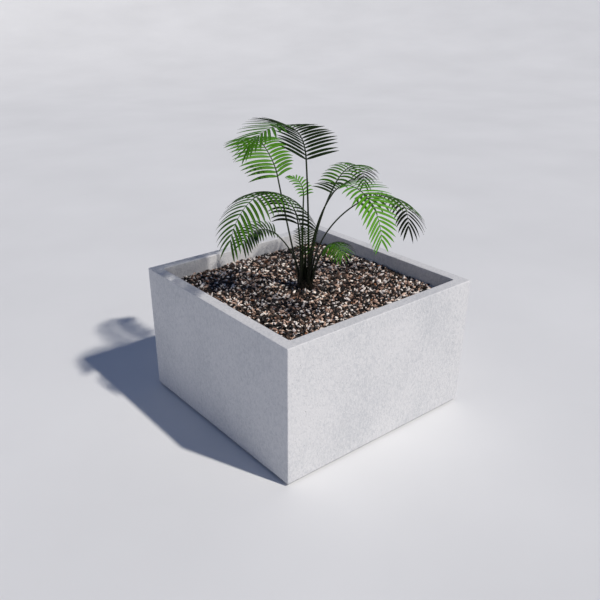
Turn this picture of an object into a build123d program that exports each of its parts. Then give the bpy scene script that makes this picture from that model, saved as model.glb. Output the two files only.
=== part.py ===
from build123d import *
from math import cos, sin, tan, radians
import os

os.makedirs("parts", exist_ok=True)

# Planter box for a street or terrace: a square cast concrete box on rubber pads,
# filled and planted with a young palm. Millimetres, +Z up, origin on the ground
# under the middle of the box.

# ---------------------------------------------------------------- overall sizes
planter_length = 1000.0   # outside, along X
planter_width = 1000.0    # outside, along Y
planter_height = 600.0    # ground to rim, pads included

# ---------------------------------------------------------------- concrete shell
pad_height = 10.0          # the shell stands this far off the ground
rim_wall = 50.0           # wall thickness at the rim
floor_thickness = 70.0
mould_draft = 1.0         # degrees each inner face leans, so the core pulls out
inner_corner = 10.0       # radius in the cavity's four upright corners
arris = 4.0               # rounding of the outside edges
rim_arris = 3.0           # rounding of the rim's inner edge

# ---------------------------------------------------------------- bearing pads
pad_size = 80.0
pad_inset = 30.0          # from the outside face to the pad's edge

# ---------------------------------------------------------------- drains
drain_spacing_x = 420.0
drain_spacing_y = 420.0
drain_bore = 36.0
sleeve_wall = 3.0
strainer_plate = 4.0      # thickness of the strainer's slotted top
strainer_flange = 62.0    # diameter
spigot_depth = 18.0
spigot_wall = 2.0
spigot_clearance = 0.4    # each side, strainer in sleeve
strainer_slots = 5
slot_width = 3.0

# ---------------------------------------------------------------- fixing sockets
socket_spacing_x = 640.0
socket_spacing_y = 640.0
thread_bore = 10.2        # minor diameter of an M12 thread
socket_diameter = 18.0
socket_length = 50.0
thread_depth = 32.0
cross_pin_diameter = 8.0
cross_pin_length = 70.0
cross_pin_cover = 7.0     # from the pin's middle to the socket's closed end

# ---------------------------------------------------------------- filling
fill_clearance = 0.3      # between the filling and the cavity's sides
layer_gap = 0.3           # between one loose layer and the next
drainage_depth = 70.0
fleece_thickness = 1.5
gravel_depth = 40.0
gravel_below_rim = 60.0
root_ball_diameter = 300.0
root_ball_depth = 230.0
root_ball_taper = 6.0     # degrees

# ---------------------------------------------------------------- palm crown
crown_diameter = 76.0     # at the gravel
crown_top_diameter = 66.0
crown_height = 34.0       # above the gravel
crown_sink = 50.0         # below the gravel, into the root ball
crown_clearance = 0.3     # between the crown and the gravel around it

# ---------------------------------------------------------------- palm fronds
stalk_diameter = 9.0
stalk_seat_depth = 14.0   # how far each stalk runs down into the crown
leaf_thickness = 5.0
leaf_overlap = 12.0       # the leaf blade starts this far before the stalk's end
leaf_shape = (0.30, 0.80, 1.0, 0.95, 0.75, 0.35)   # width along the leaf, of its widest

# name, direction it grows in, bearing and radius of its seat on the crown, lean at the
# base, stalk length, lean where the leaf starts, leaf length, lean at the tip, how far the
# leaf turns sideways towards its tip, leaf width.
# Directions are degrees from +X towards +Y. Leans are degrees from upright, outwards.
fronds = [
    ("frond_01", 103, 103, 28, 17, 460, 14, 347, 127, -45, 150),
    ("frond_02", 208, 300, 14, -1, 545, 9, 415, 135, -33, 150),
    ("frond_03", 188, 188, 28, -1, 275, 9, 550, 161, 6, 150),
    ("frond_04", 150, 150, 28, -1, 262, 49, 169, 149, 32, 110),
    ("frond_05", 98, 98, 14, 2, 385, -2, 105, 86, 5, 70),
    ("frond_06", 160, 160, 13, 0, 220, 2, 94, 28, -18, 20),
    ("frond_07", 3, 3, 26, 1, 440, 38, 322, 164, 29, 140),
    ("frond_08", 262, 262, 27, -1, 480, 42, 403, 176, 7, 150),
    ("frond_09", 331, 331, 27, -2, 415, 61, 375, 173, 45, 140),
    ("frond_10", 297, 302, 29, 5, 190, 35, 110, 150, -45, 90),
    ("frond_11", 228, 228, 3, 3, 135, 14, 198, 58, -2, 16),
]


def inside(outside, z):
    """Width of the cavity at height z, for one outside size."""
    return outside - 2 * rim_wall - 2 * (planter_height - z) * tan(radians(mould_draft))


def filled(outside, z):
    """Width of the filling at height z, for one outside size."""
    return inside(outside, z) - 2 * fill_clearance


def corners(spacing_x, spacing_y):
    """The four centres of a rectangular pattern about the middle."""
    return [(i * spacing_x / 2, j * spacing_y / 2) for j in (-1, 1) for i in (-1, 1)]


def heading(direction, lean):
    """Unit vector that leans out of upright by lean, towards direction."""
    return Vector(sin(radians(lean)) * cos(radians(direction)),
                  sin(radians(lean)) * sin(radians(direction)), cos(radians(lean)))


def grow(start, direction, turn, length, lean_from, lean_to, share):
    """Point, direction and lean after a share of a line whose lean and direction change
    evenly along it, added up from short straight steps."""
    steps = 60
    point = start
    for i in range(steps):
        way = share * (i + 0.5) / steps
        lean = lean_from + way * (lean_to - lean_from)
        point = point + heading(direction + way * turn, lean) * (length * share / steps)
    return point, direction + share * turn, lean_from + share * (lean_to - lean_from)


shell_bottom = pad_height
floor_top = shell_bottom + floor_thickness
gravel_top = planter_height - gravel_below_rim
gravel_bottom = gravel_top - gravel_depth
drainage_top = floor_top + drainage_depth
fleece_bottom = drainage_top + layer_gap
fleece_top = fleece_bottom + fleece_thickness
soil_bottom = fleece_top + layer_gap
soil_top = gravel_bottom - layer_gap
crown_bottom = gravel_top - crown_sink
crown_top = gravel_top + crown_height
root_ball_top = soil_top
root_ball_bottom = root_ball_top - root_ball_depth
sleeve_diameter = drain_bore + 2 * sleeve_wall
cross_pin_height = shell_bottom + socket_length - cross_pin_cover
drains = corners(drain_spacing_x, drain_spacing_y)
sockets = corners(socket_spacing_x, socket_spacing_y)
pads = corners(planter_length - 2 * pad_inset - pad_size, planter_width - 2 * pad_inset - pad_size)

# ---------------------------------------------------------------- shell
# One casting: block, cavity drawn in from the rim by the mould draft, four drain
# holes and four blind pockets in the underside for the fixing sockets.
with BuildPart() as shell:
    with BuildSketch(Plane.XY.offset(shell_bottom)):
        Rectangle(planter_length, planter_width)
    extrude(amount=planter_height - shell_bottom)
    fillet(shell.edges(), radius=arris)
    for level in (floor_top, planter_height):
        with BuildSketch(Plane.XY.offset(level)):
            RectangleRounded(inside(planter_length, level), inside(planter_width, level), inner_corner)
    loft(mode=Mode.SUBTRACT)
    rim_inner = [e for e in shell.edges()
                 if abs(e.center().Z - planter_height) < 0.01
                 and abs(e.center().X) < planter_length / 2 - rim_wall + 1
                 and abs(e.center().Y) < planter_width / 2 - rim_wall + 1]
    fillet(rim_inner, radius=rim_arris)
    with BuildSketch(Plane.XY.offset(shell_bottom)):
        with Locations(*drains):
            Circle(sleeve_diameter / 2)
    extrude(amount=floor_thickness, mode=Mode.SUBTRACT)
    with BuildSketch(Plane.XY.offset(shell_bottom)):
        with Locations(*sockets):
            Circle(socket_diameter / 2)
    extrude(amount=socket_length, mode=Mode.SUBTRACT)
    with Locations(*[(x, y, cross_pin_height) for x, y in sockets]):
        Cylinder(cross_pin_diameter / 2, cross_pin_length, rotation=(0, 90, 0), mode=Mode.SUBTRACT)
shell.part.label = "shell"
export_step(shell.part, "parts/shell.step")

# ---------------------------------------------------------------- bearing pads
for n, (x, y) in enumerate(pads, 1):
    with BuildPart() as pad:
        with BuildSketch():
            with Locations((x, y)):
                RectangleRounded(pad_size, pad_size, pad_height)
        extrude(amount=pad_height)
    pad.part.label = f"pad_{n}"
    export_step(pad.part, f"parts/pad_{n}.step")

# ---------------------------------------------------------------- drains
# A plastic sleeve cast through the floor, and a slotted strainer pushed into its top.
for n, (x, y) in enumerate(drains, 1):
    with BuildPart() as sleeve:
        with BuildSketch(Plane.XY.offset(shell_bottom)):
            with Locations((x, y)):
                Circle(sleeve_diameter / 2)
                Circle(drain_bore / 2, mode=Mode.SUBTRACT)
        extrude(amount=floor_thickness)
    sleeve.part.label = f"drain_sleeve_{n}"
    export_step(sleeve.part, f"parts/drain_sleeve_{n}.step")

    spigot_diameter = drain_bore - 2 * spigot_clearance
    slot_length = spigot_diameter - 2 * spigot_wall - 6
    with BuildPart() as strainer:
        with BuildSketch(Plane.XY.offset(floor_top)):
            with Locations((x, y)):
                Circle(strainer_flange / 2)
        extrude(amount=strainer_plate)
        fillet(strainer.edges().group_by(Axis.Z)[-1], radius=strainer_plate / 3)
        with BuildSketch(Plane.XY.offset(floor_top)):
            with Locations((x, y)):
                Circle(spigot_diameter / 2)
                Circle(spigot_diameter / 2 - spigot_wall, mode=Mode.SUBTRACT)
        extrude(amount=-spigot_depth)
        with BuildSketch(Plane.XY.offset(floor_top)):
            with Locations((x, y)):
                with GridLocations(2 * slot_width, 0, strainer_slots, 1):
                    SlotOverall(slot_length, slot_width, rotation=90)
        extrude(amount=strainer_plate, mode=Mode.SUBTRACT)
    strainer.part.label = f"strainer_{n}"
    export_step(strainer.part, f"parts/strainer_{n}.step")

# ---------------------------------------------------------------- fixing sockets
# Threaded steel socket cast into the underside, held by a bar through its blind end.
for n, (x, y) in enumerate(sockets, 1):
    with BuildPart() as socket:
        with BuildSketch(Plane.XY.offset(shell_bottom)):
            with Locations((x, y)):
                Circle(socket_diameter / 2)
        extrude(amount=socket_length)
        with BuildSketch(Plane.XY.offset(shell_bottom)):
            with Locations((x, y)):
                Circle(thread_bore / 2)
        extrude(amount=thread_depth, mode=Mode.SUBTRACT)
        with Locations((x, y, cross_pin_height)):
            Cylinder(cross_pin_diameter / 2, socket_diameter * 2, rotation=(0, 90, 0), mode=Mode.SUBTRACT)
    socket.part.label = f"socket_{n}"
    export_step(socket.part, f"parts/socket_{n}.step")

    with BuildPart() as cross_pin:
        with Locations((x, y, cross_pin_height)):
            Cylinder(cross_pin_diameter / 2, cross_pin_length, rotation=(0, 90, 0))
    cross_pin.part.label = f"socket_pin_{n}"
    export_step(cross_pin.part, f"parts/socket_pin_{n}.step")

# ---------------------------------------------------------------- filling
# Loose layers from the floor up. Each is drawn in like the cavity around it.
with BuildPart() as drainage:
    for level in (floor_top, drainage_top):
        with BuildSketch(Plane.XY.offset(level)):
            RectangleRounded(filled(planter_length, level), filled(planter_width, level), inner_corner)
    loft()
    with BuildSketch(Plane.XY.offset(floor_top)):
        with Locations(*drains):
            Circle(strainer_flange / 2 + fill_clearance)
    extrude(amount=strainer_plate + fill_clearance, mode=Mode.SUBTRACT)
drainage.part.label = "drainage_layer"
export_step(drainage.part, "parts/drainage_layer.step")

with BuildPart() as fleece:
    for level in (fleece_bottom, fleece_top):
        with BuildSketch(Plane.XY.offset(level)):
            RectangleRounded(filled(planter_length, level), filled(planter_width, level), inner_corner)
    loft()
fleece.part.label = "filter_fleece"
export_step(fleece.part, "parts/filter_fleece.step")

root_ball_narrowing = 2 * root_ball_depth * tan(radians(root_ball_taper))
with BuildPart() as soil:
    for level in (soil_bottom, soil_top):
        with BuildSketch(Plane.XY.offset(level)):
            RectangleRounded(filled(planter_length, level), filled(planter_width, level), inner_corner)
    loft()
    with Locations((0, 0, (root_ball_top + root_ball_bottom - layer_gap) / 2)):
        Cone(bottom_radius=(root_ball_diameter - root_ball_narrowing) / 2 + layer_gap,
             top_radius=root_ball_diameter / 2 + layer_gap,
             height=root_ball_depth + layer_gap, mode=Mode.SUBTRACT)
soil.part.label = "potting_soil"
export_step(soil.part, "parts/potting_soil.step")

with BuildPart() as root_ball:
    with Locations((0, 0, (root_ball_top + root_ball_bottom) / 2)):
        Cone(bottom_radius=(root_ball_diameter - root_ball_narrowing) / 2,
             top_radius=root_ball_diameter / 2, height=root_ball_depth)
    with BuildSketch(Plane.XY.offset(crown_bottom)):
        Circle(crown_diameter / 2)
    extrude(amount=root_ball_top - crown_bottom, mode=Mode.SUBTRACT)
root_ball.part.label = "root_ball"
export_step(root_ball.part, "parts/root_ball.step")

with BuildPart() as gravel:
    for level in (gravel_bottom, gravel_top):
        with BuildSketch(Plane.XY.offset(level)):
            RectangleRounded(filled(planter_length, level), filled(planter_width, level), inner_corner)
    loft()
    with BuildSketch(Plane.XY.offset(gravel_bottom)):
        Circle(crown_diameter / 2 + crown_clearance)
    extrude(amount=gravel_depth, mode=Mode.SUBTRACT)
gravel.part.label = "gravel_mulch"
export_step(gravel.part, "parts/gravel_mulch.step")

# ---------------------------------------------------------------- palm
# Fronds: a round stalk that bends evenly, then a leaf that arches over from its end and
# may turn aside.
stalks = []
for (name, direction, seat_bearing, seat_radius, lean_base, stalk_length,
     lean_leaf, leaf_length, lean_tip, turn, leaf_width) in fronds:
    outwards = Vector(cos(radians(direction)), sin(radians(direction)), 0)
    sideways = Vector(sin(radians(direction)), -cos(radians(direction)), 0)
    foot = Vector(seat_radius * cos(radians(seat_bearing)), seat_radius * sin(radians(seat_bearing)),
                  crown_top - stalk_seat_depth)
    upright = Plane(origin=foot, x_dir=outwards, z_dir=sideways)
    with BuildPart() as stalk:
        with BuildLine(upright):
            JernArc(start=(0, 0), tangent=(sin(radians(lean_base)), cos(radians(lean_base))),
                    radius=stalk_length / radians(abs(lean_leaf - lean_base)),
                    arc_size=-(lean_leaf - lean_base))
        with BuildSketch(Plane(origin=foot, x_dir=sideways, z_dir=heading(direction, lean_base))):
            Circle(stalk_diameter / 2)
        sweep()
    stalk.part.label = f"{name}_stalk"
    export_step(stalk.part, f"parts/{name}_stalk.step")
    stalks.append(stalk.part)

    stalk_end, _, _ = grow(foot, direction, 0, stalk_length, lean_base, lean_leaf, 1)
    stations = len(leaf_shape) - 1
    with BuildPart() as leaf:
        for n, share_of_width in enumerate(leaf_shape):
            centre, turned, lean = grow(stalk_end, direction, turn, leaf_length, lean_leaf, lean_tip,
                                        n / stations)
            if n == 0:
                centre = centre - heading(turned, lean) * leaf_overlap
            level = Vector(sin(radians(turned)), -cos(radians(turned)), 0)
            with BuildSketch(Plane(origin=centre, x_dir=level, z_dir=heading(turned, lean))):
                Rectangle(leaf_width * share_of_width, leaf_thickness)
        loft(ruled=True)
        add(stalk.part, mode=Mode.SUBTRACT)
    leaf.part.label = f"{name}_leaf"
    export_step(leaf.part, f"parts/{name}_leaf.step")

# Crown: the short swollen stem that all the stalks grow from, with a socket for each.
with BuildPart() as crown:
    with BuildSketch(Plane.XY.offset(crown_bottom)):
        Circle(crown_diameter / 2)
    extrude(amount=crown_sink)
    for level, diameter in ((gravel_top, crown_diameter), (crown_top, crown_top_diameter)):
        with BuildSketch(Plane.XY.offset(level)):
            Circle(diameter / 2)
    loft()
    fillet(crown.edges().group_by(Axis.Z)[-1], radius=crown_height / 8)
    for rooted in stalks:
        add(rooted, mode=Mode.SUBTRACT)
crown.part.label = "palm_crown"
export_step(crown.part, "parts/palm_crown.step")
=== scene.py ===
"""Planted concrete box: the looks of a square cast planter with gravel and a young palm."""
from math import cos, pi, radians, sin, sqrt

import bpy
import numpy as np
from mathutils import Matrix, Vector


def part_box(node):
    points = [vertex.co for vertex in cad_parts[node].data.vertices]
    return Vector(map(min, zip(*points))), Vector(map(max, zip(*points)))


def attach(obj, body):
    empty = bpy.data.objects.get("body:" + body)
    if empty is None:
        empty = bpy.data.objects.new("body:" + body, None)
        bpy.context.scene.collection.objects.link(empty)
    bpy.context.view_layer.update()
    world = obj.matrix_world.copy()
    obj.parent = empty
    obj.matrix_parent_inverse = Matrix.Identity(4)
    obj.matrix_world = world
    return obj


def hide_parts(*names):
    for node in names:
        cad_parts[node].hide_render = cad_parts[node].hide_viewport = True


bl_info = {
    "name": "Planted Concrete Box",
    "version": (1, 0, 0),
    "blender": (4, 5, 0),
    "location": "3D View > Sidebar > Planter",
    "description": "Finishes a cast concrete planter and grows the gravel and palm in it",
    "category": "Add Mesh",
}

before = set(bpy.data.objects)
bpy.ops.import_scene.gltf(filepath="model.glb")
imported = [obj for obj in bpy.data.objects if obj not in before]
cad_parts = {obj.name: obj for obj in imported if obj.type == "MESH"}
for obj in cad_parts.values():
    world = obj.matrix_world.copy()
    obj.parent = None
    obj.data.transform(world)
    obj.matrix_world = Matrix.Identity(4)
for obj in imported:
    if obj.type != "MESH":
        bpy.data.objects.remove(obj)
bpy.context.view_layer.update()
GRAVEL_LOW, GRAVEL_HIGH = (np.array(corner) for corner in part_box("gravel_mulch"))
FLEECE_LOW, FLEECE_HIGH = (np.array(corner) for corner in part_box("filter_fleece"))
CROWN_LOW, CROWN_HIGH = (np.array(corner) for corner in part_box("palm_crown"))
SEAT_DEPTH = 0.014   # how far each stalk's foot is down in the crown
SEAT_HEIGHT = float(CROWN_HIGH[2]) - SEAT_DEPTH

# Name, direction it grows in, bearing and radius (mm) of its seat, lean at the base,
# stalk length (mm), lean where the leaf starts, leaf length (mm), lean at the tip, how far
# the leaf turns sideways by its tip
FRONDS = [
    ("frond_01", 103, 103, 28, 17, 460, 14, 347, 127, -45),
    ("frond_02", 208, 300, 14, -1, 545, 9, 415, 135, -33),
    ("frond_03", 188, 188, 28, -1, 275, 9, 550, 161, 6),
    ("frond_04", 150, 150, 28, -1, 262, 49, 169, 149, 32),
    ("frond_05", 98, 98, 14, 2, 385, -2, 105, 86, 5),
    ("frond_06", 160, 160, 13, 0, 220, 2, 94, 28, -18),
    ("frond_07", 3, 3, 26, 1, 440, 38, 322, 164, 29),
    ("frond_08", 262, 262, 27, -1, 480, 42, 403, 176, 7),
    ("frond_09", 331, 331, 27, -2, 415, 61, 375, 173, 45),
    ("frond_10", 297, 302, 29, 5, 190, 35, 110, 150, -45),
    ("frond_11", 228, 228, 3, 3, 135, 14, 198, 58, -2),
]
# For each frond: leaflet length (mm), leaflets a side, splay at the base and how much it
# closes towards the tip, lift at the base, sag, brightness of its green
LEAFLETS = {
    "frond_01": (160, 21, 74, 32, -8, 0.49, 0.60),
    "frond_02": (146, 26, 70, 29, 14, 0.24, 0.45),
    "frond_03": (150, 27, 72, 21, -7, 0.87, 0.30),
    "frond_04": (128, 15, 80, 12, 15, 0.51, 0.20),
    "frond_05": (54, 10, 67, 28, 16, 0.71, 0.70),
    "frond_06": (46, 9, 62, 27, 11, 0.40, 0.65),
    "frond_07": (100, 20, 82, 36, 18, 0.72, 0.45),
    "frond_08": (116, 24, 65, 9, 23, 0.37, 0.85),
    "frond_09": (146, 19, 76, 34, 9, 1.04, 0.25),
    "frond_10": (96, 12, 80, 36, -4, 0.97, 0.30),
    "frond_11": (59, 12, 62, 25, 31, 0.26, 0.90),
}


# ------------------------------------------------------------------ small tools
def linear(hex_colour):
    """Turns an sRGB hex colour into the linear RGBA that the shaders work in."""
    channels = [int(hex_colour[i:i + 2], 16) / 255 for i in (1, 3, 5)]
    return tuple(c / 12.92 if c <= 0.04045 else ((c + 0.055) / 1.055) ** 2.4 for c in channels) + (1.0,)


def add_node(tree, kind, settings=None, stops=None, **links):
    """Adds one node. settings are its own properties, stops are a ramp's (position, colour)
    pairs, and each link is a socket, by name or as i0, i1..., with a value or another socket."""
    node = tree.nodes.new(kind)
    for name, value in (settings or {}).items():
        setattr(node, name, value)
    if stops:
        elements = node.color_ramp.elements
        while len(elements) < len(stops):
            elements.new(0.5)
        for element, (position, colour) in zip(elements, stops):
            element.position = position
            element.color = linear(colour) if isinstance(colour, str) else tuple(colour)
    for name, value in links.items():
        socket = node.inputs[int(name[1:])] if name[1:].isdigit() else node.inputs[name.replace("_", " ")]
        if isinstance(value, bpy.types.NodeSocket):
            tree.links.new(value, socket)
        else:
            socket.default_value = value
    return node


def new_material(name):
    """An empty node material, its tree and its object coordinates in metres."""
    material = bpy.data.materials.new(name)
    material.use_nodes = True
    tree = material.node_tree
    tree.nodes.clear()
    return material, tree, add_node(tree, "ShaderNodeTexCoord").outputs["Object"]


def dress(node_names, material):
    """Gives carried-over nodes their material in every slot."""
    for name in node_names:
        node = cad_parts[name]
        if not node.material_slots:
            node.data.materials.append(material)
        for held in node.material_slots:
            held.material = material


def tube_faces(rings, around, first=0):
    """Quads of a tube of rings, each ring closed, wound so that they face outwards."""
    ring, step = np.meshgrid(np.arange(rings - 1), np.arange(around), indexing="ij")
    ahead = (step + 1) % around
    quads = np.stack([ring * around + step, (ring + 1) * around + step,
                      (ring + 1) * around + ahead, ring * around + ahead], -1)
    return quads.reshape(-1, 4) + first


def sheet_faces(rows, columns):
    """Quads of an open grid whose rows run along X and columns along Y, facing up."""
    row, column = np.meshgrid(np.arange(rows - 1), np.arange(columns - 1), indexing="ij")
    corner = row * columns + column
    return np.stack([corner, corner + columns, corner + columns + 1, corner + 1], -1).reshape(-1, 4)


def sheet_edge(n):
    """Points round the edge of an n by n grid, anticlockwise from above."""
    along = np.arange(1, n)
    return np.concatenate([np.arange(n) * n, (n - 1) * n + along, (n - 1 - along) * n + n - 1,
                           np.arange(n - 2, 0, -1)])


def make_piece(name, points, faces, material, replaced, smooth=True, tones=None):
    """Puts whole arrays of points and faces into one mesh that rides on the box.
    tones are named values held at the points, which the material reads."""
    mesh = bpy.data.meshes.new(name)
    mesh.from_pydata(np.asarray(points).reshape(-1, 3).tolist(), [], [list(face) for face in faces])
    mesh.polygons.foreach_set("use_smooth", np.full(len(mesh.polygons), smooth))
    for tone, values in (tones or {}).items():
        held = mesh.attributes.new(tone, "FLOAT", "POINT")
        held.data.foreach_set("value", np.asarray(values, dtype=np.float32).ravel())
    mesh.materials.append(material)
    mesh.update()
    piece = bpy.data.objects.new(name, mesh)
    bpy.context.scene.collection.objects.link(piece)
    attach(piece, "root")
    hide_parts(*replaced)
    return piece


def ripple(x, y, size, seed):
    """Smooth unevenness from -1 to 1: a sum of six sine waves in seeded directions whose
    lengths are about the size."""
    dice = np.random.default_rng(seed)
    total = np.zeros(np.broadcast(x, y).shape)
    for angle, phase, stretch in zip(dice.uniform(0, 2 * pi, 6), dice.uniform(0, 2 * pi, 6),
                                     dice.uniform(0.7, 1.5, 6)):
        total += np.sin((x * cos(angle) + y * sin(angle)) * 2 * pi / (size * stretch) + phase)
    return total / 6


# ------------------------------------------------------------------ frond shape
def along_frond(frond, distance):
    """Points, headings, upper sides and level sides at distances (m) from the seat. The lean
    from upright grows evenly along the stalk and then evenly along the leaf, and the leaf's
    direction turns evenly too. The heading is sin lean outwards plus cos lean upwards, the
    line is its running sum from the seat, and the upper side is sin lean upwards less cos
    lean outwards."""
    _, toward, bearing, seat, lean_base, stalk_mm, lean_leaf, leaf_mm, lean_tip, turn = frond
    stalk, leaf = stalk_mm / 1000, leaf_mm / 1000

    def directions(s):
        on_stalk, on_leaf = np.clip(s / stalk, 0, 1), np.clip((s - stalk) / leaf, 0, 1)
        lean = np.radians(lean_base + (lean_leaf - lean_base) * on_stalk + (lean_tip - lean_leaf) * on_leaf)
        bearing_now = np.radians(toward + turn * on_leaf)
        outwards = np.stack([np.cos(bearing_now), np.sin(bearing_now), 0 * s], -1)
        sideways = np.stack([np.sin(bearing_now), -np.cos(bearing_now), 0 * s], -1)
        upwards = np.array([0.0, 0.0, 1.0])
        lean = lean[..., None]
        return (np.sin(lean) * outwards + np.cos(lean) * upwards,
                np.sin(lean) * upwards - np.cos(lean) * outwards, sideways)

    fine = np.linspace(0, stalk + leaf, 601)
    steps = directions((fine[1:] + fine[:-1]) / 2)[0] * np.diff(fine)[:, None]
    foot = np.array([seat / 1000 * cos(radians(bearing)), seat / 1000 * sin(radians(bearing)), SEAT_HEIGHT])
    line = foot + np.concatenate([np.zeros((1, 3)), np.cumsum(steps, 0)])
    point = np.stack([np.interp(distance, fine, line[:, axis]) for axis in range(3)], -1)
    return point, *directions(np.asarray(distance, dtype=float))


def stalk_surface(frond, thickness, rings=64, around=14):
    """A ring carried along the frond's line. Its radius is the stalk's at the seat, falls
    evenly to three quarters at the leaf and then to a sixth at the tip, and swells by a bell
    curve into a sheath over the lowest 100 mm. It is 0.85 of that radius deep, and its upper
    side is pressed in to a groove."""
    stalk, leaf = frond[5] / 1000, frond[7] / 1000
    s = np.concatenate([np.linspace(0, 0.09, rings // 4, endpoint=False),
                        np.linspace(0.09, stalk + leaf, rings - rings // 4)])
    point, _, upper, sideways = along_frond(frond, s)
    share = np.clip(s / stalk, 0, 1)
    tip = np.clip((s - stalk) / leaf, 0, 1)
    radius = thickness / 2 * (1 - 0.26 * share) * (1 - 0.78 * tip ** 0.7)
    flare = np.exp(-(s / 0.10) ** 2)
    angle = np.linspace(0, 2 * pi, around, endpoint=False)
    groove = 1 - 0.28 * np.exp(-((angle - pi / 2) / 0.55) ** 2)
    across = (radius + 0.0042 * flare)[:, None] * np.cos(angle)
    depth = (0.85 * radius + 0.0024 * flare)[:, None] * np.sin(angle) * groove
    surface = point[:, None] + across[..., None] * sideways[:, None] + depth[..., None] * upper[:, None]
    height = np.repeat(s / (stalk + leaf), around)
    faces = tube_faces(rings, around).tolist()
    faces += [list(range(around)), list(range(rings * around - 1, (rings - 1) * around - 1, -1))]
    return surface, faces, height


def leaflet_surface(frond, half_width, rings=11, seed=0):
    """Every leaflet of one frond. Each starts at the midrib, splayed from its heading by an
    angle that closes with the square of the way to the tip, and sharply in its last tenth.
    It is lifted towards the upper side, or dropped where the lift is below zero, by an angle
    that evens out to 3 degrees. Its direction then gains a downward share, sag times the 1.3
    power of the way along it, and its line is the running sum of that direction. Across the
    line lies a thin folded blade whose half width rises by a quarter sine over its first
    fifth, stays, and closes to a point over its last half."""
    stalk, leaf = frond[5] / 1000, frond[7] / 1000
    longest, pairs, splay_base, splay_closing, lift_base, sag, tone = LEAFLETS[frond[0]]
    longest = longest / 1000
    dice = np.random.default_rng(seed)
    share = np.repeat(np.linspace(0, 1, pairs), 2)
    side = np.tile([1.0, -1.0], pairs)
    share = np.clip(share + dice.uniform(-0.10, 0.10, share.size) / pairs, 0, 1)
    point, heading, upper, sideways = along_frond(frond, stalk + leaf * (0.004 + 0.990 * share))
    splay = splay_base - splay_closing * share ** 2 - 20 * share ** 12
    splay = np.radians(splay + dice.normal(0, 0.6, share.size))[:, None]
    lift = lift_base + (3 - lift_base) * share
    lift = np.radians(lift + dice.normal(0, 1.0, share.size))[:, None]
    start = (np.cos(splay) * heading
             + np.sin(splay) * (np.cos(lift) * side[:, None] * sideways + np.sin(lift) * upper))
    grown = 1 - 0.06 * (1 - np.clip(share / 0.15, 0, 1)) - 0.42 * np.clip((share - 0.45) / 0.55, 0, 1) ** 2
    length = longest * grown * (1 + dice.normal(0, 0.025, share.size))
    v = np.linspace(0, 1, rings)
    pull = sag * (1 + dice.normal(0, 0.06, share.size))
    direction = start[:, None] + (pull[:, None] * v ** 1.3)[..., None] * np.array([0, 0, -1.0])
    direction /= np.linalg.norm(direction, axis=-1, keepdims=True)
    steps = (direction[:, 1:] + direction[:, :-1]) / 2 * (length / (rings - 1))[:, None, None]
    line = np.concatenate([np.zeros((share.size, 1, 3)), np.cumsum(steps, 1)], 1) + point[:, None]
    broad = heading[:, None] - (heading[:, None] * direction).sum(-1, keepdims=True) * direction
    broad *= side[:, None, None] / np.linalg.norm(broad, axis=-1, keepdims=True)
    face = np.cross(direction, broad)
    twist = (dice.normal(0, 0.06, share.size)[:, None] * (0.3 + v))[..., None]
    broad, face = np.cos(twist) * broad + np.sin(twist) * face, np.cos(twist) * face - np.sin(twist) * broad
    opening = 0.35 + 0.65 * np.sin(pi / 2 * np.clip(v / 0.22, 0, 1))
    closing = 1 - 0.97 * np.clip((v - 0.45) / 0.55, 0, 1) ** 2.2
    width = half_width * sqrt(longest / 0.15) * opening * closing
    width = (width * (0.55 + 0.45 * grown[:, None]))[..., None]
    fold, thin = 0.28, 0.00035
    rim = fold * width * face
    ring = np.stack([line - width * broad + rim, line + thin * face,
                     line + width * broad + rim, line - thin * face], 2)
    count = share.size
    first = (np.arange(count) * rings * 4)[:, None, None]
    ends = np.array([[0, 1, 2, 3], [rings * 4 - 1, rings * 4 - 2, rings * 4 - 3, rings * 4 - 4]])
    faces = (np.concatenate([tube_faces(rings, 4), ends])[None] + first).reshape(-1, 4)
    whole = (count, rings, 4)
    tones = {"leaf_tone": np.broadcast_to((tone + dice.normal(0, 0.05, count))[:, None, None], whole),
             "leaf_margin": np.broadcast_to(np.array([1.0, 0.0, 1.0, 0.0]), whole),
             "leaf_under": np.broadcast_to(np.array([0.5, 0.0, 0.5, 1.0]), whole),
             "leaf_tipward": np.broadcast_to(v[None, :, None], whole)}
    return ring, faces, tones


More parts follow.
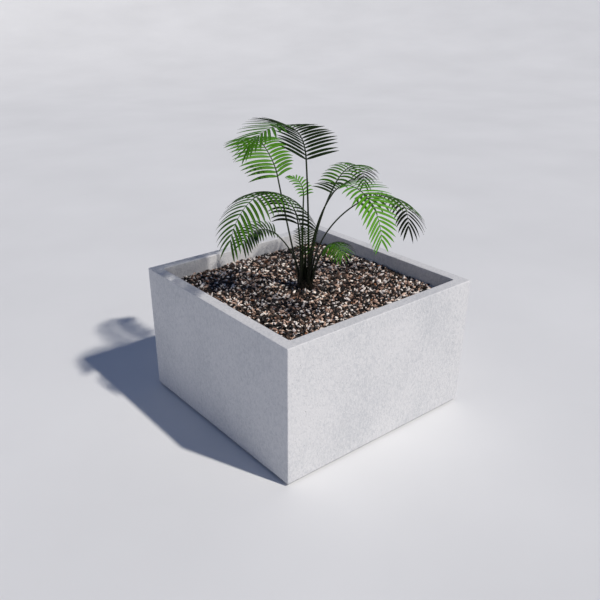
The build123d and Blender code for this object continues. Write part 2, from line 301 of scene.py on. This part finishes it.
# ------------------------------------------------------------------ gravel shape
def stone_surface(centres, lengths, seed):
    """Crushed stones: an icosahedron for each, its corners pushed in or out at random,
    stretched to a shard of its length, about half of it wide and 0.38 thick, tipped and
    rolled by about 30 degrees either way and turned by any angle."""
    dice = np.random.default_rng(seed)
    golden = (1 + sqrt(5)) / 2
    corners = np.array([(-1, golden, 0), (1, golden, 0), (-1, -golden, 0), (1, -golden, 0),
                        (0, -1, golden), (0, 1, golden), (0, -1, -golden), (0, 1, -golden),
                        (golden, 0, -1), (golden, 0, 1), (-golden, 0, -1), (-golden, 0, 1)])
    corners = corners / np.linalg.norm(corners[0])
    sides = np.array([(0, 11, 5), (0, 5, 1), (0, 1, 7), (0, 7, 10), (0, 10, 11), (1, 5, 9), (5, 11, 4),
                      (11, 10, 2), (10, 7, 6), (7, 1, 8), (3, 9, 4), (3, 4, 2), (3, 2, 6), (3, 6, 8),
                      (3, 8, 9), (4, 9, 5), (2, 4, 11), (6, 2, 10), (8, 6, 7), (9, 8, 1)])
    count = len(centres)
    knobbly = corners * dice.uniform(0.70, 1.22, (count, 12, 1))
    half = np.stack([np.ones(count), dice.uniform(0.36, 0.66, count), dice.uniform(0.26, 0.50, count)], -1)
    stones = knobbly * (half * lengths[:, None] / 2)[:, None]
    turn, tip, roll = dice.uniform(0, 2 * pi, count), dice.normal(0, 0.50, count), dice.normal(0, 0.60, count)
    for angle, (a, b) in ((roll, (1, 2)), (tip, (2, 0)), (turn, (0, 1))):
        c, s = np.cos(angle)[:, None], np.sin(angle)[:, None]
        first, second = stones[..., a].copy(), stones[..., b].copy()
        stones[..., a], stones[..., b] = c * first - s * second, s * first + c * second
    faces = (sides[None] + (np.arange(count) * 12)[:, None, None]).reshape(-1, 3)
    return stones + centres[:, None], faces


# ------------------------------------------------------------------ finishes
def cast_concrete(colour, shade):
    """Light concrete with a hand-rubbed cement skin. It is matt, with faint darker clouds, a sandy speckle, a
    few air holes and a dimpled trowelled relief. Painted shade darkens the relief's hollows and the air
    holes."""
    material, tree, where = new_material("Rubbed light concrete")
    # Clouds are about 300 mm across, the speckle about 3 mm.
    clouds = add_node(tree, "ShaderNodeTexNoise", Vector=where, Scale=3.4, Detail=4.0, Roughness=0.55)
    speckle = add_node(tree, "ShaderNodeTexNoise", Vector=where, Scale=330.0, Detail=2.0)
    # Trowel marks are lumps about 10 mm wide and half as long again, leaning to one side.
    turned = add_node(tree, "ShaderNodeMapping", Vector=where, Scale=(1.0, 1.0, 0.7),
                      Rotation=(radians(35), radians(35), radians(20)))
    lumps = add_node(tree, "ShaderNodeTexNoise", Vector=turned.outputs[0], Scale=95.0, Detail=3.0,
                     Roughness=0.6, Distortion=0.8)
    clouded = add_node(tree, "ShaderNodeMath", {"operation": "MULTIPLY"}, i0=clouds.outputs["Fac"], i1=0.30)
    # The low lumps pull the ramp towards its dark stop: painted shade in the relief's hollows.
    clouds_and_painted_hollow_shade = add_node(tree, "ShaderNodeMath", {"operation": "MULTIPLY_ADD"}, i0=lumps.outputs["Fac"],
                        i1=0.50, i2=clouded.outputs[0])
    mixed = add_node(tree, "ShaderNodeMath", {"operation": "MULTIPLY_ADD"}, i0=speckle.outputs["Fac"],
                     i1=0.20, i2=clouds_and_painted_hollow_shade.outputs[0])
    tint = add_node(tree, "ShaderNodeValToRGB", stops=[(0.38, shade), (0.56, colour)], Fac=mixed.outputs[0])
    # Air holes are 2 to 4 mm across and in patches.
    holes = add_node(tree, "ShaderNodeTexVoronoi", Vector=where, Scale=48.0, Randomness=1.0)
    hole = add_node(tree, "ShaderNodeMapRange", Value=holes.outputs["Distance"], From_Min=0.04, From_Max=0.09,
                    To_Min=1.0, To_Max=0.0)
    patchy = add_node(tree, "ShaderNodeMapRange", Value=clouds.outputs["Fac"], From_Min=0.54, From_Max=0.62)
    pitted = add_node(tree, "ShaderNodeMath", {"operation": "MULTIPLY"},
                      i0=hole.outputs[0], i1=patchy.outputs[0])
    # The air holes are multiplied darker by this grey: painted shade in the holes, on top of their dip in the
    # relief.
    darker = add_node(tree, "ShaderNodeMix", {"data_type": "RGBA", "blend_type": "MULTIPLY"},
                      i0=pitted.outputs[0], i6=tint.outputs["Color"], i7=linear("#B0ADA8"))
    rough = add_node(tree, "ShaderNodeMapRange", Value=lumps.outputs["Fac"], To_Min=0.90, To_Max=0.70)
    grainy = add_node(tree, "ShaderNodeMath", {"operation": "MULTIPLY_ADD"},
                      i0=speckle.outputs["Fac"], i1=0.18, i2=lumps.outputs["Fac"])
    relief = add_node(tree, "ShaderNodeMath", {"operation": "MULTIPLY_ADD"},
                      i0=pitted.outputs[0], i1=-0.5, i2=grainy.outputs[0])
    bump = add_node(tree, "ShaderNodeBump", Strength=0.5, Distance=0.005, Height=relief.outputs[0])
    surface = add_node(tree, "ShaderNodeBsdfPrincipled", Base_Color=darker.outputs[2], IOR=1.5,
                       Roughness=rough.outputs[0], Normal=bump.outputs[0])
    add_node(tree, "ShaderNodeOutputMaterial", Surface=surface.outputs["BSDF"])
    return material


def moulded(name, colour, roughness, grain):
    """Moulded rubber or plastic: one even colour with a fine skin from the mould."""
    material, tree, where = new_material(name)
    skin = add_node(tree, "ShaderNodeTexNoise", Vector=where, Scale=1000.0 / grain, Detail=2.0)
    shade = add_node(tree, "ShaderNodeMix", {"data_type": "RGBA"}, i0=skin.outputs["Fac"],
                     i6=linear(colour), i7=tuple(1.6 * c for c in linear(colour)[:3]) + (1.0,))
    rough = add_node(tree, "ShaderNodeMapRange", Value=skin.outputs["Fac"], To_Min=roughness - 0.08,
                     To_Max=roughness + 0.08)
    bump = add_node(tree, "ShaderNodeBump", Strength=0.2, Distance=0.0003, Height=skin.outputs["Fac"])
    surface = add_node(tree, "ShaderNodeBsdfPrincipled",
                       Base_Color=shade.outputs[2], Roughness=rough.outputs[0], Normal=bump.outputs[0])
    add_node(tree, "ShaderNodeOutputMaterial", Surface=surface.outputs["BSDF"])
    return material


def galvanised_steel():
    """Hot-dip galvanised steel: dull silver with spangles about 4 mm across."""
    material, tree, where = new_material("Galvanised steel")
    spangle = add_node(tree, "ShaderNodeTexVoronoi", Vector=where, Scale=250.0)
    tint = add_node(tree, "ShaderNodeValToRGB", stops=[(0.0, "#8F9395"), (1.0, "#B9BDBE")],
                    Fac=spangle.outputs["Color"])
    rough = add_node(tree, "ShaderNodeMapRange", Value=spangle.outputs["Distance"], To_Min=0.38,
                     To_Max=0.55)
    surface = add_node(tree, "ShaderNodeBsdfPrincipled",
                       Base_Color=tint.outputs["Color"], Metallic=1.0, Roughness=rough.outputs[0])
    add_node(tree, "ShaderNodeOutputMaterial", Surface=surface.outputs["BSDF"])
    return material


def loose_fill(name, low, high, grain):
    """Loose mineral or peat: lumps of one grain size (mm) between two browns, quite matt."""
    material, tree, where = new_material(name)
    lumps = add_node(tree, "ShaderNodeTexVoronoi", Vector=where, Scale=1000.0 / grain)
    tint = add_node(tree, "ShaderNodeValToRGB", stops=[(0.0, low), (1.0, high)], Fac=lumps.outputs["Color"])
    bump = add_node(tree, "ShaderNodeBump", Strength=0.8, Distance=grain / 3000.0,
                    Height=lumps.outputs["Distance"])
    surface = add_node(tree, "ShaderNodeBsdfPrincipled",
                       Base_Color=tint.outputs["Color"], Roughness=0.92, Normal=bump.outputs[0])
    add_node(tree, "ShaderNodeOutputMaterial", Surface=surface.outputs["BSDF"])
    return material


def crushed_stone(pale, dark):
    """Crushed river stone: each piece has its own colour, from cream and pink through brown to
    near black, with grains about 1 mm across on its broken faces."""
    material, tree, where = new_material("Crushed mixed stone")
    own = add_node(tree, "ShaderNodeAttribute", {"attribute_name": "stone_tone"})
    kinds = add_node(tree, "ShaderNodeValToRGB", Fac=own.outputs["Fac"], stops=[
        (0.00, dark), (0.24, "#211915"), (0.40, "#3C2E26"), (0.52, "#5E493D"), (0.61, "#A08070"),
        (0.70, "#D9BBA8"), (0.80, "#E2DAD7"), (0.86, pale), (0.99, "#8F5A34")])
    kinds.color_ramp.interpolation = "CONSTANT"
    grain = add_node(tree, "ShaderNodeTexNoise", Vector=where, Scale=700.0, Detail=3.0)
    light = add_node(tree, "ShaderNodeMapRange", Value=grain.outputs["Fac"], From_Min=0.3,
                     From_Max=0.7, To_Min=0.72, To_Max=1.22)
    tint = add_node(tree, "ShaderNodeMix", {"data_type": "RGBA", "blend_type": "MULTIPLY"}, i0=1.0,
                    i6=kinds.outputs["Color"], i7=light.outputs[0])
    bump = add_node(tree, "ShaderNodeBump", Strength=0.4, Distance=0.0006, Height=grain.outputs["Fac"])
    surface = add_node(tree, "ShaderNodeBsdfPrincipled",
                       Base_Color=tint.outputs[2], Roughness=0.62, Normal=bump.outputs[0])
    add_node(tree, "ShaderNodeOutputMaterial", Surface=surface.outputs["BSDF"])
    return material


def palm_leaf(deep, bright):
    """Living palm leaflet: waxy green, brighter on some fronds than on others, with a paler midrib, a browner
    tip, painted shade darkening its underside and a soft shine."""
    material, tree, where = new_material("Palm leaflet")
    own = add_node(tree, "ShaderNodeAttribute", {"attribute_name": "leaf_tone"})
    margin = add_node(tree, "ShaderNodeAttribute", {"attribute_name": "leaf_margin"})
    tipward = add_node(tree, "ShaderNodeAttribute", {"attribute_name": "leaf_tipward"})
    patches = add_node(tree, "ShaderNodeTexNoise", Vector=where, Scale=35.0, Detail=3.0)
    level = add_node(tree, "ShaderNodeMath", {"operation": "MULTIPLY_ADD"}, i0=patches.outputs["Fac"],
                     i1=0.25, i2=own.outputs["Fac"])
    green = add_node(tree, "ShaderNodeValToRGB", stops=[(0.10, deep), (1.0, bright)], Fac=level.outputs[0])
    rib = add_node(tree, "ShaderNodeMapRange", Value=margin.outputs["Fac"], From_Min=0.0, From_Max=0.25,
                   To_Min=0.35, To_Max=0.0)
    ribbed = add_node(tree, "ShaderNodeMix", {"data_type": "RGBA"}, i0=rib.outputs[0],
                      i6=green.outputs["Color"], i7=linear("#8FA34A"))
    dry = add_node(tree, "ShaderNodeMapRange", Value=tipward.outputs["Fac"], From_Min=0.90, From_Max=1.0,
                   To_Min=0.0, To_Max=0.5)
    tipped = add_node(tree, "ShaderNodeMix", {"data_type": "RGBA"}, i0=dry.outputs[0],
                      i6=ribbed.outputs[2], i7=linear("#6B5A2A"))
    # The underside is mixed most of the way to near black: painted shade on the leaflet's lower face.
    under = add_node(tree, "ShaderNodeAttribute", {"attribute_name": "leaf_under"})
    below = add_node(tree, "ShaderNodeMapRange", Value=under.outputs["Fac"], From_Min=0.48, From_Max=0.52,
                     To_Min=0.0, To_Max=0.8)
    leaflet_with_painted_underside_shade = add_node(tree, "ShaderNodeMix", {"data_type": "RGBA"}, i0=below.outputs[0],
                      i6=tipped.outputs[2], i7=linear("#0B1406"))
    rough = add_node(tree, "ShaderNodeMapRange", Value=patches.outputs["Fac"], To_Min=0.48, To_Max=0.62)
    surface = add_node(tree, "ShaderNodeBsdfPrincipled", Base_Color=leaflet_with_painted_underside_shade.outputs[2],
                       Roughness=rough.outputs[0], IOR=1.4, Specular_IOR_Level=0.3)
    add_node(tree, "ShaderNodeOutputMaterial", Surface=surface.outputs["BSDF"])
    return material


def palm_stalk(low, high):
    """Palm stalk: smooth and satin, dark at the sheath and green towards the leaf, with
    lengthwise fibres."""
    material, tree, where = new_material("Palm stalk")
    height = add_node(tree, "ShaderNodeAttribute", {"attribute_name": "stalk_height"})
    long = add_node(tree, "ShaderNodeMapping", Vector=where, Scale=(600.0, 600.0, 25.0))
    fibres = add_node(tree, "ShaderNodeTexNoise", Vector=long.outputs[0], Scale=1.0, Detail=3.0)
    level = add_node(tree, "ShaderNodeMath", {"operation": "MULTIPLY_ADD"}, i0=fibres.outputs["Fac"],
                     i1=0.3, i2=height.outputs["Fac"])
    tint = add_node(tree, "ShaderNodeValToRGB", stops=[(0.10, low), (1.0, high)], Fac=level.outputs[0])
    bump = add_node(tree, "ShaderNodeBump", Strength=0.25, Distance=0.0004, Height=fibres.outputs["Fac"])
    surface = add_node(tree, "ShaderNodeBsdfPrincipled",
                       Base_Color=tint.outputs["Color"], Roughness=0.42, Normal=bump.outputs[0], IOR=1.45)
    add_node(tree, "ShaderNodeOutputMaterial", Surface=surface.outputs["BSDF"])
    return material


def crown_fibre():
    """Old leaf sheaths at the crown: dark brown, matted with coarse upright fibres."""
    material, tree, where = new_material("Palm sheath fibre")
    long = add_node(tree, "ShaderNodeMapping", Vector=where, Scale=(450.0, 450.0, 40.0))
    fibres = add_node(tree, "ShaderNodeTexNoise", Vector=long.outputs[0], Scale=1.0, Detail=5.0)
    tint = add_node(tree, "ShaderNodeValToRGB", stops=[(0.3, "#0C0904"), (0.7, "#332813")],
                    Fac=fibres.outputs["Fac"])
    bump = add_node(tree, "ShaderNodeBump", Strength=0.9, Distance=0.0015, Height=fibres.outputs["Fac"])
    surface = add_node(tree, "ShaderNodeBsdfPrincipled",
                       Base_Color=tint.outputs["Color"], Roughness=0.85, Normal=bump.outputs[0])
    add_node(tree, "ShaderNodeOutputMaterial", Surface=surface.outputs["BSDF"])
    return material


def needled_fleece():
    """Needle-punched filter fleece: grey, fuzzy, with fibres crossing at random."""
    material, tree, where = new_material("Needled filter fleece")
    fuzz = add_node(tree, "ShaderNodeTexNoise", Vector=where, Scale=900.0, Detail=4.0, Distortion=2.0)
    tint = add_node(tree, "ShaderNodeValToRGB", stops=[(0.3, "#6E6E6B"), (0.7, "#A3A29E")],
                    Fac=fuzz.outputs["Fac"])
    bump = add_node(tree, "ShaderNodeBump", Strength=0.6, Distance=0.0004, Height=fuzz.outputs["Fac"])
    surface = add_node(tree, "ShaderNodeBsdfPrincipled",
                       Base_Color=tint.outputs["Color"], Roughness=0.95, Normal=bump.outputs[0],
                       Sheen_Weight=0.2)
    add_node(tree, "ShaderNodeOutputMaterial", Surface=surface.outputs["BSDF"])
    return material


def floor_plaster(colour):
    """Plain pale studio floor with the faintest clouding."""
    material, tree, where = new_material("Pale studio floor")
    clouds = add_node(tree, "ShaderNodeTexNoise", Vector=where, Scale=0.8, Detail=4.0)
    tint = add_node(tree, "ShaderNodeValToRGB", stops=[(0.3, "#D8DADD"), (0.7, colour)],
                    Fac=clouds.outputs["Fac"])
    surface = add_node(tree, "ShaderNodeBsdfPrincipled", Base_Color=tint.outputs["Color"], Roughness=0.8)
    add_node(tree, "ShaderNodeOutputMaterial", Surface=surface.outputs["BSDF"])
    return material


# ------------------------------------------------------------------ settings
class PlanterFinishes(bpy.types.PropertyGroup):
    """Colours of the box, the stones and the palm."""
    concrete: bpy.props.FloatVectorProperty(
        name="Concrete", description="Dry concrete, where it is palest", subtype="COLOR", size=4,
        min=0, max=1, default=linear("#D4D5D8"))
    # The dark stop of the concrete's ramp: its clouds and speckle, and painted shade in the relief's hollows.
    concrete_dark_and_painted_shade: bpy.props.FloatVectorProperty(
        name="Concrete clouds", description="Concrete where the paste dried darker", subtype="COLOR", size=4,
        min=0, max=1, default=linear("#BDC0C5"))
    stone_pale: bpy.props.FloatVectorProperty(
        name="Pale stones", description="The palest stones in the gravel", subtype="COLOR", size=4,
        min=0, max=1, default=linear("#FFF7EF"))
    # Also the colour of the whole gravel bed, where it is painted shade in the gaps between the stones.
    stone_dark_and_painted_gap_shade: bpy.props.FloatVectorProperty(
        name="Dark stones", description="The darkest stones in the gravel", subtype="COLOR", size=4,
        min=0, max=1, default=linear("#0D0A09"))
    # The two ends of the leaflet green; each frond's own tone sets where its leaflets lie between them.
    leaf_deep: bpy.props.FloatVectorProperty(
        name="Old leaf", description="Green of the oldest leaflets", subtype="COLOR", size=4,
        min=0, max=1, default=linear("#0A2601"))
    leaf_bright: bpy.props.FloatVectorProperty(
        name="Young leaf", description="Green of the youngest leaflets", subtype="COLOR", size=4,
        min=0, max=1, default=linear("#4B8C08"))


class PlanterGravel(bpy.types.PropertyGroup):
    """Sizes of the gravel."""
    stone: bpy.props.FloatProperty(
        name="Stone length", description="Length of an average stone", subtype="DISTANCE", unit="LENGTH",
        default=0.0172, min=0.008, max=0.05)
    spacing: bpy.props.FloatProperty(
        name="Stone spacing", description="Distance between stones in one layer", subtype="DISTANCE",
        unit="LENGTH", default=0.0122, min=0.006, max=0.05)
    layers: bpy.props.IntProperty(
        name="Layers", description="Layers of loose stones over the bed", default=2, min=1, max=3)


class PlanterPalm(bpy.types.PropertyGroup):
    """Sizes of the palm."""
    stalk: bpy.props.FloatProperty(
        name="Stalk thickness", description="Diameter of a stalk above its sheath", subtype="DISTANCE",
        unit="LENGTH", default=0.0095, min=0.004, max=0.02)
    leaflet: bpy.props.FloatProperty(
        name="Leaflet width", description="Greatest width of a leaflet", subtype="DISTANCE", unit="LENGTH",
        default=0.0122, min=0.004, max=0.03)


class PlanterStage(bpy.types.PropertyGroup):
    """The studio's light."""
    key_strength: bpy.props.FloatProperty(
        name="Key light", description="Strength of the high side light", default=3.25, min=0)
    surround: bpy.props.FloatProperty(
        name="Surround", description="Strength of the even light from all round", default=0.185, min=0)
    floor: bpy.props.FloatVectorProperty(
        name="Floor", description="Colour of the studio floor", subtype="COLOR", size=4,
        min=0, max=1, default=linear("#DFE1E4"))


# ------------------------------------------------------------------ operators
def numbered(stem, count=4):
    """The names of like pieces, numbered from one."""
    return [f"{stem}_{i}" for i in range(1, count + 1)]


class PLANTER_OT_cast_shell(bpy.types.Operator):
    """Finish the cast shell in fair-faced concrete"""
    bl_idname = "planter.cast_shell"
    bl_label = "Concrete shell"

    def execute(self, context):
        finishes = context.scene.planter_finishes
        dress(["shell"], cast_concrete(finishes.concrete, finishes.concrete_dark_and_painted_shade))
        return {"FINISHED"}


class PLANTER_OT_fit_pads(bpy.types.Operator):
    """Finish the bearing pads in black rubber"""
    bl_idname = "planter.fit_pads"
    bl_label = "Bearing pads"

    def execute(self, context):
        # Recycled rubber granulate, bonded: grains about 2 mm across.
        dress(numbered("pad"), moulded("Bonded rubber granulate", "#161616", 0.85, 2.0))
        return {"FINISHED"}


class PLANTER_OT_fit_drains(bpy.types.Operator):
    """Finish the drain sleeves and strainers in black plastic"""
    bl_idname = "planter.fit_drains"
    bl_label = "Drains"

    def execute(self, context):
        # Injection-moulded polypropylene: a faint 0.8 mm skin.
        dress(numbered("drain_sleeve") + numbered("strainer"),
              moulded("Black polypropylene", "#1B1C1D", 0.45, 0.8))
        return {"FINISHED"}


class PLANTER_OT_fit_sockets(bpy.types.Operator):
    """Finish the fixing sockets and their cross pins in galvanised steel"""
    bl_idname = "planter.fit_sockets"
    bl_label = "Fixing sockets"

    def execute(self, context):
        dress(numbered("socket") + numbered("socket_pin"), galvanised_steel())
        return {"FINISHED"}


class PLANTER_OT_fill_box(bpy.types.Operator):
    """Finish the drainage stone, the potting soil and the root ball"""
    bl_idname = "planter.fill_box"
    bl_label = "Filling"

    def execute(self, context):
        dress(["drainage_layer"], loose_fill("Drainage stone", "#4B4036", "#8A7C6C", 12.0))
        dress(["potting_soil", "root_ball"], loose_fill("Potting soil", "#1A120B", "#3E2D1F", 4.0))
        return {"FINISHED"}


class PLANTER_OT_lay_fleece(bpy.types.Operator):
    """Lay the filter fleece on the drainage stone"""
    bl_idname = "planter.lay_fleece"
    bl_label = "Filter fleece"

    def execute(self, context):
        # A level grid, with a second one a sheet's thickness lower, joined round the edge.
        low, high = FLEECE_LOW, FLEECE_HIGH
        n = 25   # points along each side
        x, y = np.meshgrid(np.linspace(low[0], high[0], n), np.linspace(low[1], high[1], n), indexing="ij")
        top = np.stack([x, y, np.full_like(x, high[2])], -1).reshape(-1, 3)
        bottom = np.stack([x, y, np.full_like(x, low[2])], -1).reshape(-1, 3)
        up = sheet_faces(n, n)
        edge = sheet_edge(n)
        ahead = np.roll(edge, -1)
        side = np.stack([edge, edge + n * n, ahead + n * n, ahead], -1)
        faces = np.concatenate([up, up[:, ::-1] + n * n, side])
        piece = make_piece("filter_fleece_sheet", np.concatenate([top, bottom]), faces, needled_fleece(),
                           ["filter_fleece"], smooth=False)
        return {"FINISHED"}


class PLANTER_OT_spread_gravel(bpy.types.Operator):
    """Spread the gravel: an uneven bed and loose crushed stones over it"""
    bl_idname = "planter.spread_gravel"
    bl_label = "Gravel"

    def execute(self, context):
        finishes, gravel = context.scene.planter_finishes, context.scene.planter_gravel
        stone = crushed_stone(finishes.stone_pale, finishes.stone_dark_and_painted_gap_shade)
        side_gap = 0.0005     # keeps the stones off the box
        reach = float(GRAVEL_HIGH[0]) - side_gap
        level = float(GRAVEL_HIGH[2])
        bed_drop = 0.007      # the bed lies this far under the gravel's height
        stem_radius = 0.036   # no stone's middle is closer to the stem than this

        def surface(x, y):
            """The gravel's height: 2 mm under the layer's top, uneven by up to 4 mm either
            way over about 230 mm, and up to 8 mm lower in the corners."""
            corner = np.clip((np.abs(x) + np.abs(y)) / reach - 1.2, 0, 1)
            return level - 0.002 + 0.0040 * ripple(x, y, 0.23, 3) - 0.010 * corner

        # The bed is a grid at that height less its drop, its outermost ring taken down to
        # the bottom of the layer and closed there by one face.
        n = 61   # points along each side
        x, y = np.meshgrid(np.linspace(-reach, reach, n), np.linspace(-reach, reach, n), indexing="ij")
        z = surface(x, y) - bed_drop
        rim = (np.abs(x) > reach - 1e-6) | (np.abs(y) > reach - 1e-6)
        z[rim] = GRAVEL_LOW[2]
        faces = sheet_faces(n, n).tolist() + [sheet_edge(n)[::-1].tolist()]
        # The bed takes the darkest stone colour all over: painted shade in the gaps between the loose stones.
        make_piece("gravel_bed", np.stack([x, y, z], -1), faces, stone, ["gravel_mulch"],
                   tones={"stone_tone": np.full(n * n, 0.1)})

        # Stones lie about a grid, each moved by up to half a space, the upper layer 5 mm up.
        for layer in range(gravel.layers):
            dice = np.random.default_rng(11 + layer)
            rows = int(2 * reach / gravel.spacing)
            at = (np.arange(rows) + 0.5) / rows * 2 * reach - reach
            x, y = (axis.ravel() for axis in np.meshgrid(at, at, indexing="ij"))
            x = x + dice.uniform(-0.55, 0.55, x.size) * gravel.spacing
            y = y + dice.uniform(-0.55, 0.55, y.size) * gravel.spacing
            length = gravel.stone * dice.lognormal(0.0, 0.24, x.size)
            margin = reach - 0.42 * length
            x, y = np.clip(x, -margin, margin), np.clip(y, -margin, margin)
            clear = np.hypot(x, y) > stem_radius
            x, y, length = x[clear], y[clear], length[clear]
            z = surface(x, y) - 0.004 + 0.0050 * layer + dice.normal(0, 0.0022, x.size)
            points, faces = stone_surface(np.stack([x, y, z], -1), length, 31 + layer)
            tone = np.repeat(dice.uniform(0, 1, x.size), 12)
            make_piece(f"gravel_stones_{layer + 1}", points, faces, stone, ["gravel_mulch"],
                       smooth=False, tones={"stone_tone": tone})
        return {"FINISHED"}


class PLANTER_OT_grow_crown(bpy.types.Operator):
    """Grow the palm's crown, with old sheaths wrapped round it"""
    bl_idname = "planter.grow_crown"
    bl_label = "Palm crown"

    def execute(self, context):
        # A profile turned about the stem: upright below the gravel, then a dome, with the
        # radius swelling in overlapping lobes that lean round as they rise.
        rings, around, lobes = 44, 132, 11
        lobe_lean = 1.6   # lobes that each lobe leans round by, foot to top
        share = np.linspace(0, 1, rings)[:, None]
        angle = np.linspace(0, 2 * pi, around, endpoint=False)[None]
        low, high = float(CROWN_LOW[2]), float(CROWN_HIGH[2]) + 0.022
        dome = np.clip((share - 0.45) / 0.55, 0, 1)
        radius = float(CROWN_HIGH[0]) * (1 - 0.06 * share) * np.sqrt(np.clip(1 - dome ** 2.4, 0.0004, 1))
        lobe = (angle * lobes / (2 * pi) + lobe_lean * share) % 1.0
        radius = radius * (0.90 + 0.10 * np.sqrt(1 - lobe) + 0.02 * np.sin(37 * angle + 9 * share))
        z = low + (high - low) * (share - 0.10 * share * dome) + 0.0 * angle
        points = np.stack([radius * np.cos(angle), radius * np.sin(angle), z], -1)
        faces = tube_faces(rings, around)[:, ::-1].tolist()
        last = (rings - 1) * around
        faces += [list(range(last + around - 1, last - 1, -1)), list(range(around))]
        make_piece("palm_crown_sheaths", points, faces, crown_fibre(), ["palm_crown"])
        return {"FINISHED"}


class PLANTER_OT_grow_stalks(bpy.types.Operator):
    """Grow each frond's stalk and midrib"""
    bl_idname = "planter.grow_stalks"
    bl_label = "Stalks"

    def execute(self, context):
        stalk = palm_stalk("#0B0E05", "#22360E")
        for frond in FRONDS:
            surface, faces, height = stalk_surface(frond, context.scene.planter_palm.stalk)
            make_piece(f"{frond[0]}_midrib", surface, faces, stalk, [f"{frond[0]}_stalk"],
                       tones={"stalk_height": height})
        return {"FINISHED"}


class PLANTER_OT_grow_leaflets(bpy.types.Operator):
    """Grow the leaflets of each frond"""
    bl_idname = "planter.grow_leaflets"
    bl_label = "Leaflets"

    def execute(self, context):
        finishes = context.scene.planter_finishes
        green = palm_leaf(finishes.leaf_deep, finishes.leaf_bright)
        half_width = context.scene.planter_palm.leaflet / 2
        for number, frond in enumerate(FRONDS, 1):
            points, faces, tones = leaflet_surface(frond, half_width, seed=100 + number)
            make_piece(f"{frond[0]}_leaflets", points, faces, green, [f"{frond[0]}_leaf"],
                       smooth=False, tones=tones)
        return {"FINISHED"}


class PLANTER_OT_set_stage(bpy.types.Operator):
    """Lay the floor and set the lights and the camera"""
    bl_idname = "planter.set_stage"
    bl_label = "Stage"

    def execute(self, context):
        stage = context.scene.planter_stage
        # A floor that is flat for 10 m and then turns up like a shallow bowl, so that it
        # has no far edge: its height is 9 m times the square of the way to its rim.
        around = 96
        radius = np.concatenate([[0.0], np.linspace(2.0, 10.0, 5), np.linspace(11.0, 30.0, 20)])
        angle = np.linspace(0, 2 * pi, around, endpoint=False)
        height = 9.0 * np.clip((radius - 10) / 20, 0, 1) ** 2
        points = np.stack([radius[:, None] * np.cos(angle), radius[:, None] * np.sin(angle),
                           height[:, None] + 0 * angle], -1)
        mesh = bpy.data.meshes.new("studio_floor")
        mesh.from_pydata(points.reshape(-1, 3).tolist(), [], tube_faces(len(radius), around).tolist())
        mesh.validate()
        mesh.polygons.foreach_set("use_smooth", np.full(len(mesh.polygons), True))
        mesh.materials.append(floor_plaster(stage.floor))
        floor = bpy.data.objects.new("studio_floor", mesh)
        context.scene.collection.objects.link(floor)

        # The key light is the high side light that throws the box's one strong shadow.
        sun_bearing, sun_height = radians(-68), radians(49.5)
        toward = Vector((cos(sun_bearing) * cos(sun_height), sin(sun_bearing) * cos(sun_height),
                         sin(sun_height)))
        lamp = bpy.data.lights.new("key_light", "SUN")
        lamp.energy, lamp.angle = stage.key_strength, radians(2.0)
        lamp.color = linear("#FFF8EE")[:3]
        key = bpy.data.objects.new("key_light", lamp)
        key.location = toward * 6.0
        key.rotation_euler = toward.to_track_quat("Z", "Y").to_euler()
        context.scene.collection.objects.link(key)

        world = bpy.data.worlds.new("studio_surround")
        world.use_nodes = True
        world.node_tree.nodes.clear()
        even = add_node(world.node_tree, "ShaderNodeBackground", Color=linear("#92B8FF"),
                        Strength=stage.surround)
        add_node(world.node_tree, "ShaderNodeOutputWorld", Surface=even.outputs[0])
        context.scene.world = world
        context.scene.view_settings.view_transform = "Standard"

        # The camera looks down on the corner between the two near faces.
        azimuth, elevation, roll = radians(-38.0), radians(26.85), radians(-0.42)
        back = Vector((sin(azimuth) * cos(elevation), -cos(azimuth) * cos(elevation), sin(elevation)))
        right = Vector((cos(azimuth), sin(azimuth), 0))
        up = back.cross(right)
        view = bpy.data.cameras.new("view_camera")
        view.sensor_width, view.lens = 36.0, 41.12
        view.shift_x, view.shift_y = 0.0315, 0.0583
        view.clip_end = 200.0
        camera = bpy.data.objects.new("view_camera", view)
        turned = Matrix((right, up, back)).transposed() @ Matrix.Rotation(roll, 3, "Z")
        camera.matrix_world = Matrix.Translation((-1.804, -2.134, 1.715)) @ turned.to_4x4()
        context.scene.collection.objects.link(camera)
        context.scene.camera = camera
        return {"FINISHED"}


OPERATORS = (PLANTER_OT_cast_shell, PLANTER_OT_fit_pads, PLANTER_OT_fit_drains, PLANTER_OT_fit_sockets,
             PLANTER_OT_fill_box, PLANTER_OT_lay_fleece, PLANTER_OT_spread_gravel, PLANTER_OT_grow_crown,
             PLANTER_OT_grow_stalks, PLANTER_OT_grow_leaflets, PLANTER_OT_set_stage)


class PLANTER_PT_box(bpy.types.Panel):
    """Lists the pieces of the planted box"""
    bl_idname = "PLANTER_PT_box"
    bl_label = "Planted concrete box"
    bl_space_type = "VIEW_3D"
    bl_region_type = "UI"
    bl_category = "Planter"

    def draw(self, context):
        for group in ("planter_finishes", "planter_gravel", "planter_palm", "planter_stage"):
            held = getattr(context.scene, group)
            box = self.layout.box()
            for prop in held.bl_rna.properties:
                if prop.identifier not in ("rna_type", "name"):
                    box.prop(held, prop.identifier)
        for operator in OPERATORS:
            self.layout.operator(operator.bl_idname)


GROUPS = {"planter_finishes": PlanterFinishes, "planter_gravel": PlanterGravel,
          "planter_palm": PlanterPalm, "planter_stage": PlanterStage}


def register():
    for kind in (*GROUPS.values(), *OPERATORS, PLANTER_PT_box):
        bpy.utils.register_class(kind)
    for name, kind in GROUPS.items():
        setattr(bpy.types.Scene, name, bpy.props.PointerProperty(type=kind))


def unregister():
    for name in GROUPS:
        delattr(bpy.types.Scene, name)
    for kind in (PLANTER_PT_box, *reversed(OPERATORS), *reversed(list(GROUPS.values()))):
        bpy.utils.unregister_class(kind)


def main():
    """Builds every piece in order."""
    register()
    for operator in OPERATORS:
        getattr(bpy.ops.planter, operator.bl_idname.split(".")[1])()


if __name__ == "__main__":
    main()
